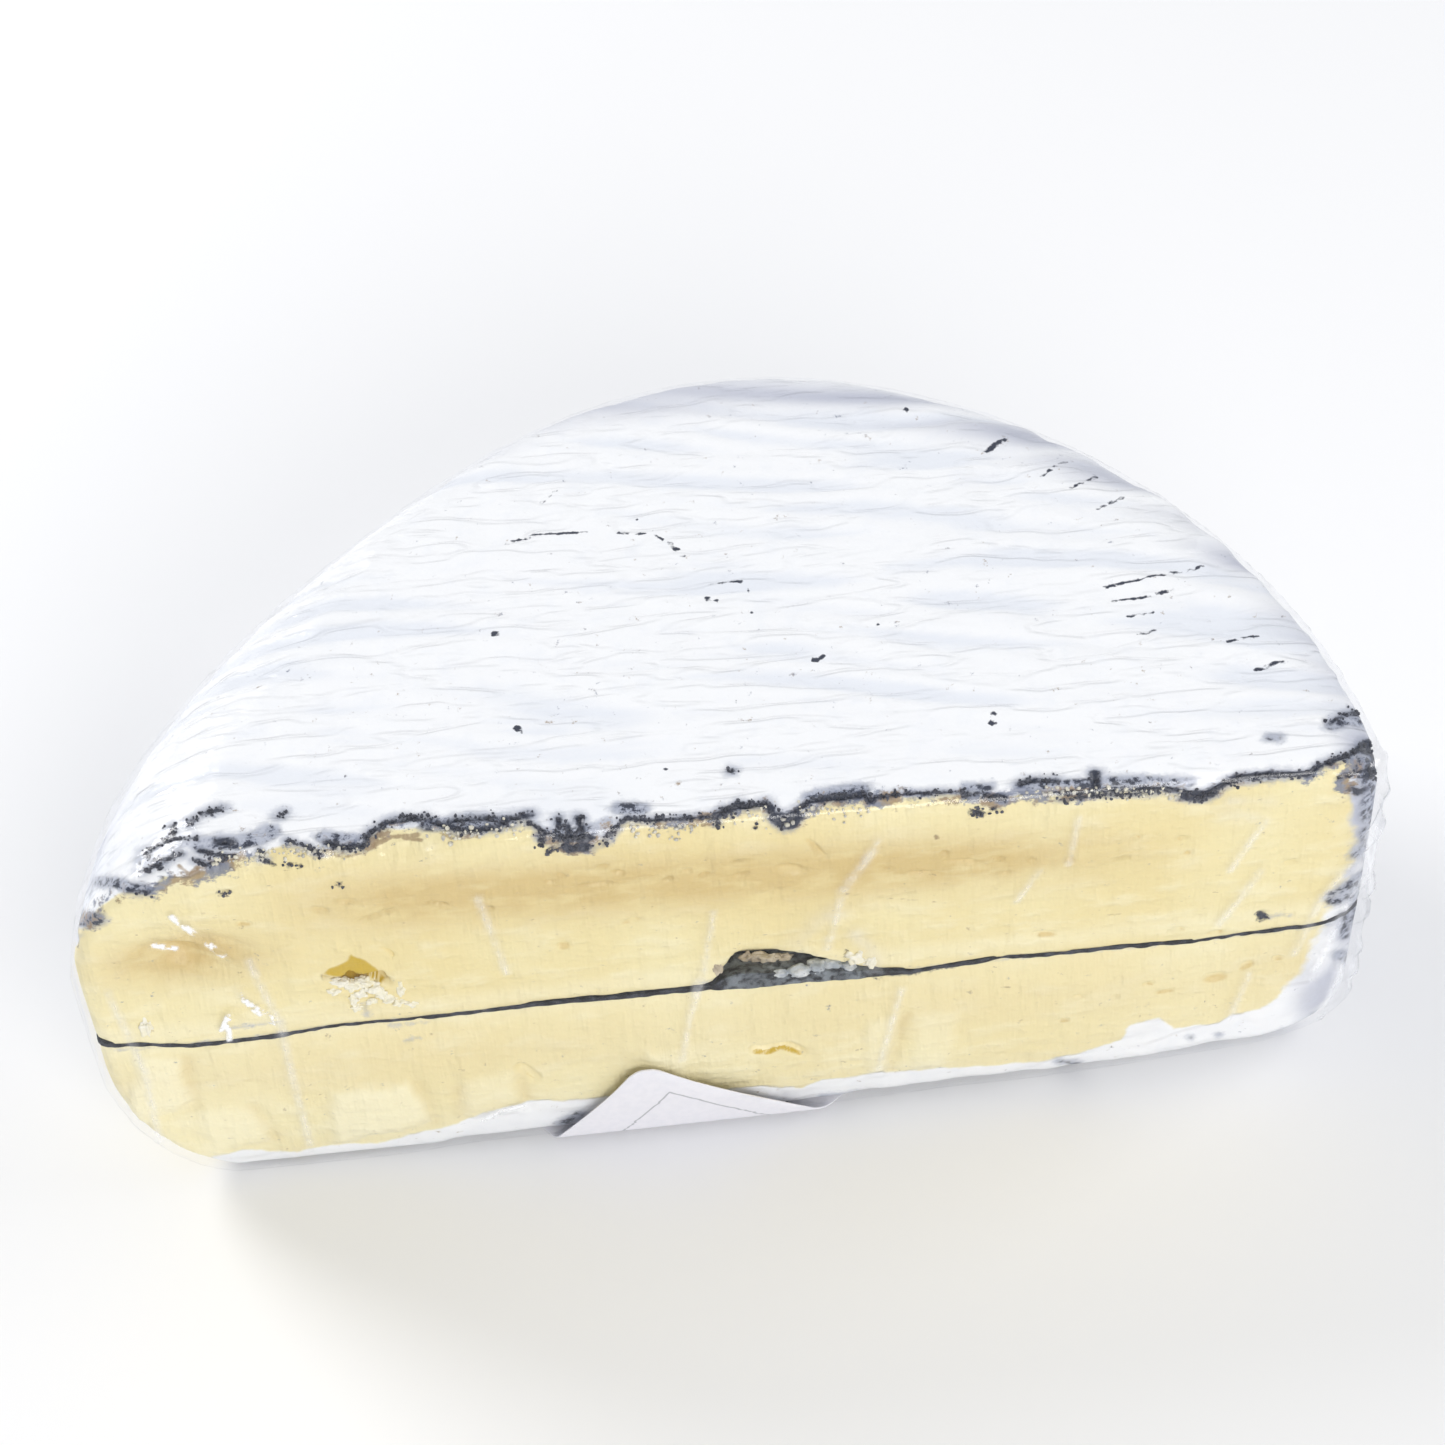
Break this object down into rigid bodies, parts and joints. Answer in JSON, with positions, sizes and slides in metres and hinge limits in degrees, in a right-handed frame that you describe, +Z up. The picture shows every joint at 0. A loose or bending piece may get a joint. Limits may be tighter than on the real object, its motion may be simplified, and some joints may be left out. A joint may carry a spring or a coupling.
{
  "type": "cut half of a soft white-rind cheese wheel with an ash line, in clear film",
  "caption": "Half of a soft white-rind cheese wheel with a dark ash line through its pale paste, wrapped tight in clear film with a bare label",
  "frame": {"origin": "middle of the wrapped half's bounding box in plan, on the plane that it rests on", "axes": "+X along the cut, towards its right end as seen from the cut; +Y away from the cut face into the cheese; +Z up"},
  "size_m": [0.2038, 0.1112, 0.077],
  "materials": {
    "lower_paste": "soft cheese paste, satin, with a thin white rind round its side and base",
    "ash": "fine vegetable ash, matt",
    "upper_paste": "soft cheese paste under a white bloomy rind",
    "clear_film": "clear cling film, glossy",
    "label_paper": "white coated paper"
  },
  "bodies": {
    "root": {"lower_layer": "lower_paste", "ash_line": "ash", "upper_layer": "upper_paste", "film_wrap": "clear_film", "label": "label_paper"}
  },
  "joints": []
}
